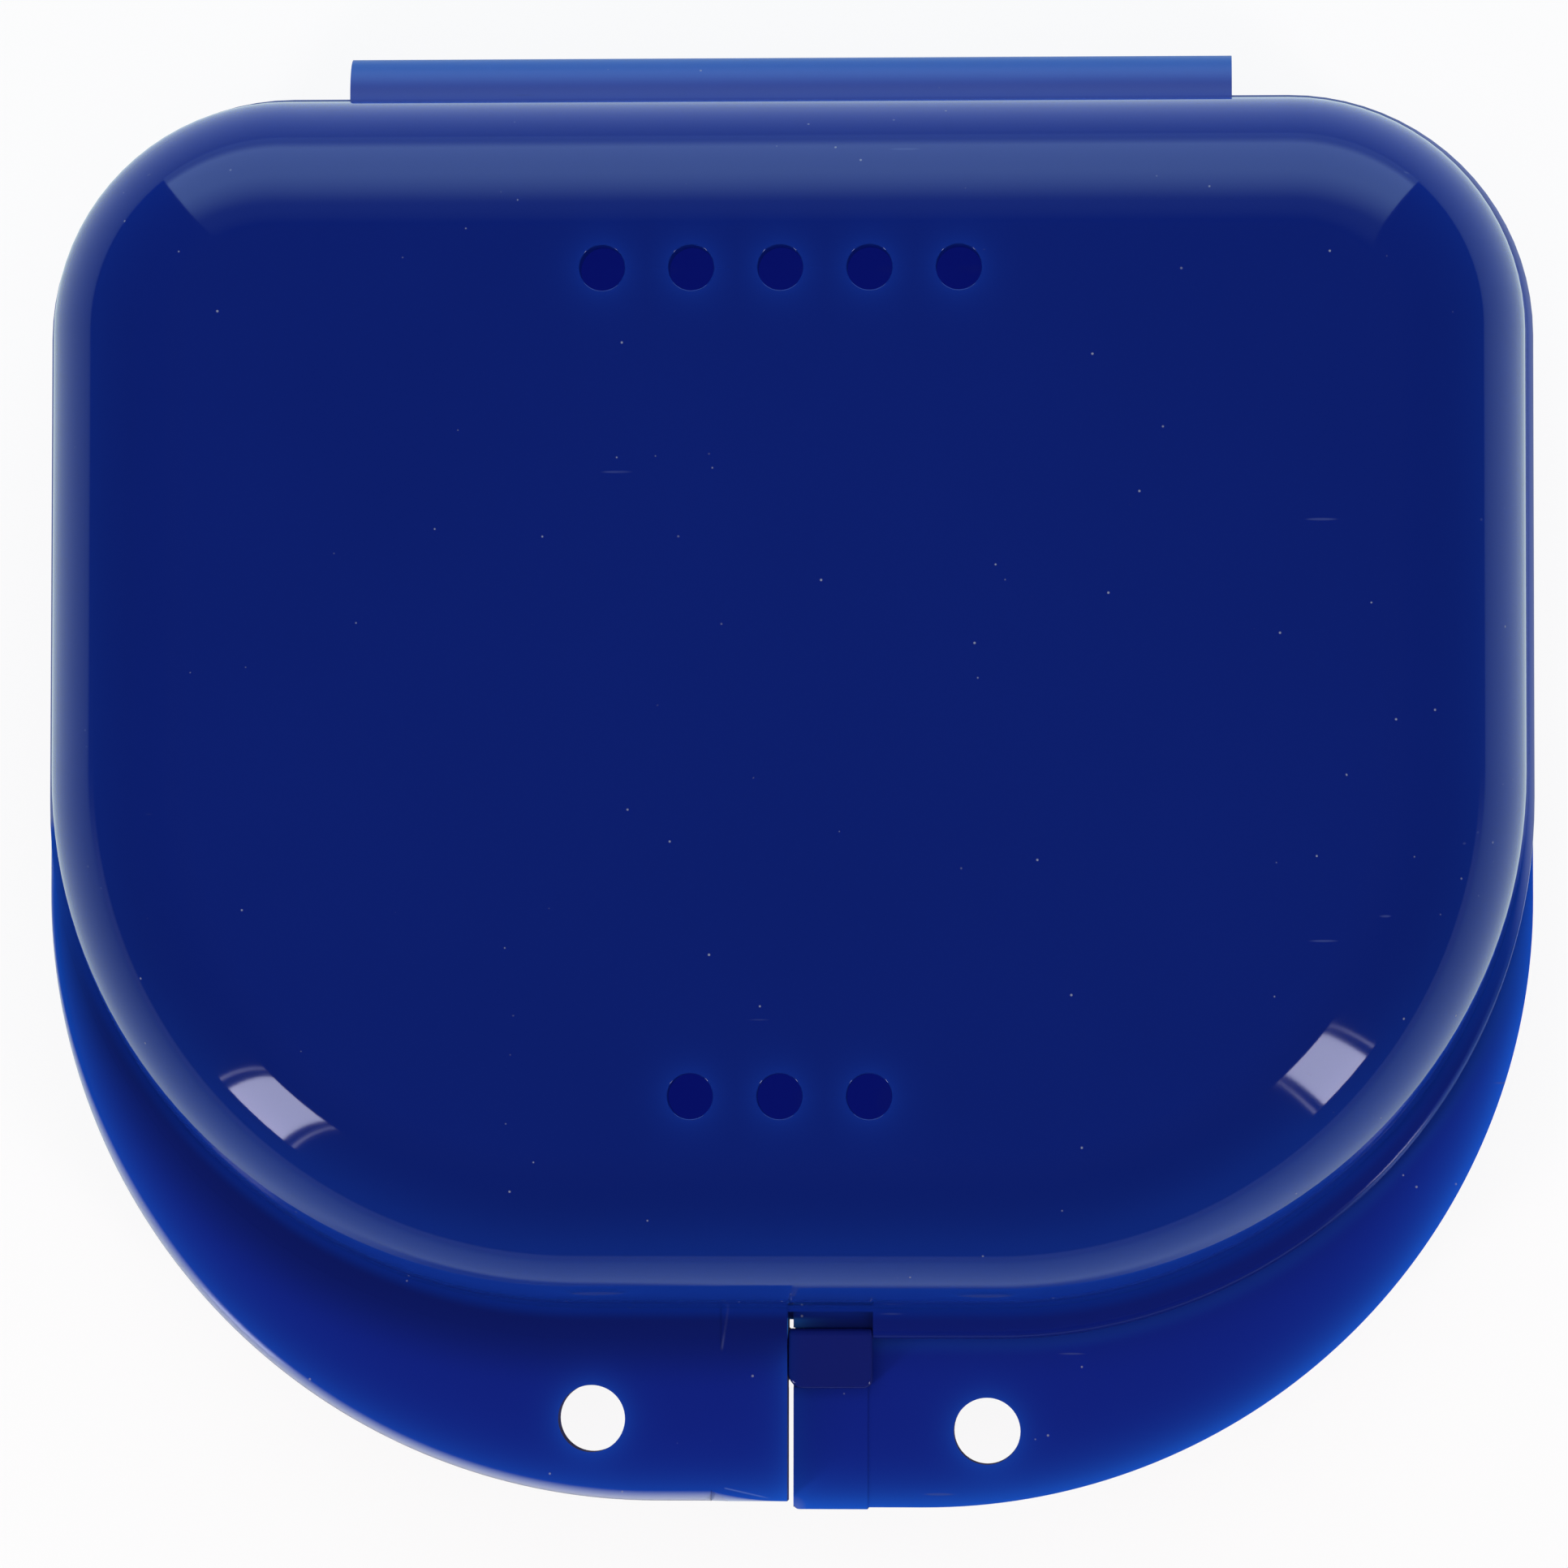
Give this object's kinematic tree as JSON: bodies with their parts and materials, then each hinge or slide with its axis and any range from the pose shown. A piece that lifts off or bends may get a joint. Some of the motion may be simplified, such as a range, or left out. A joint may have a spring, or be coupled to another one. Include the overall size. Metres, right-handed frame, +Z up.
{
  "type": "orthodontic retainer case",
  "caption": "Rounded hinged plastic case for a dental retainer: two domed half shells with a folding strap at the back, split finger tabs with lanyard holes, and a snap catch.",
  "frame": {"origin": "middle of the flat face that the closed case stands on, on the line midway between the side walls and midway between the front and rear walls", "axes": "+Z up through the lid, -Y to the finger tabs, +Y to the hinge, +X to the side of the base's finger tab"},
  "size_m": [0.08, 0.0785, 0.026],
  "materials": {
    "shell_plastic": "polished deep blue polypropylene, slightly see-through where it is thin",
    "flange_plastic": "polished deep blue polypropylene, lighter at its cut edges",
    "strap_plastic": "thin deep blue polypropylene that lets some light through"
  },
  "bodies": {
    "base": {"base_shell": "shell_plastic", "base_rim": "flange_plastic", "base_locating_lip": "flange_plastic", "base_finger_tab": "flange_plastic", "base_catch": "flange_plastic", "base_hinge_leaf": "strap_plastic"},
    "spine": {"hinge_spine": "strap_plastic"},
    "lid": {"lid_shell": "shell_plastic", "lid_rim": "flange_plastic", "lid_finger_tab": "flange_plastic", "lid_catch": "flange_plastic", "lid_hinge_leaf": "strap_plastic"}
  },
  "joints": [
    {"name": "base_crease", "type": "hinge", "parent": "base", "child": "spine", "pos_m": [0, 0.03457, 0.01163], "axis": [-1, 0, 0], "range_deg": [0, 90]},
    {"name": "lid_crease", "type": "hinge", "parent": "spine", "child": "lid", "pos_m": [0, 0.03457, 0.01437], "axis": [-1, 0, 0], "range_deg": [0, 90]}
  ],
  "couplings": [
    {"joint": "lid_crease", "follows": "base_crease", "ratio": 1}
  ]
}
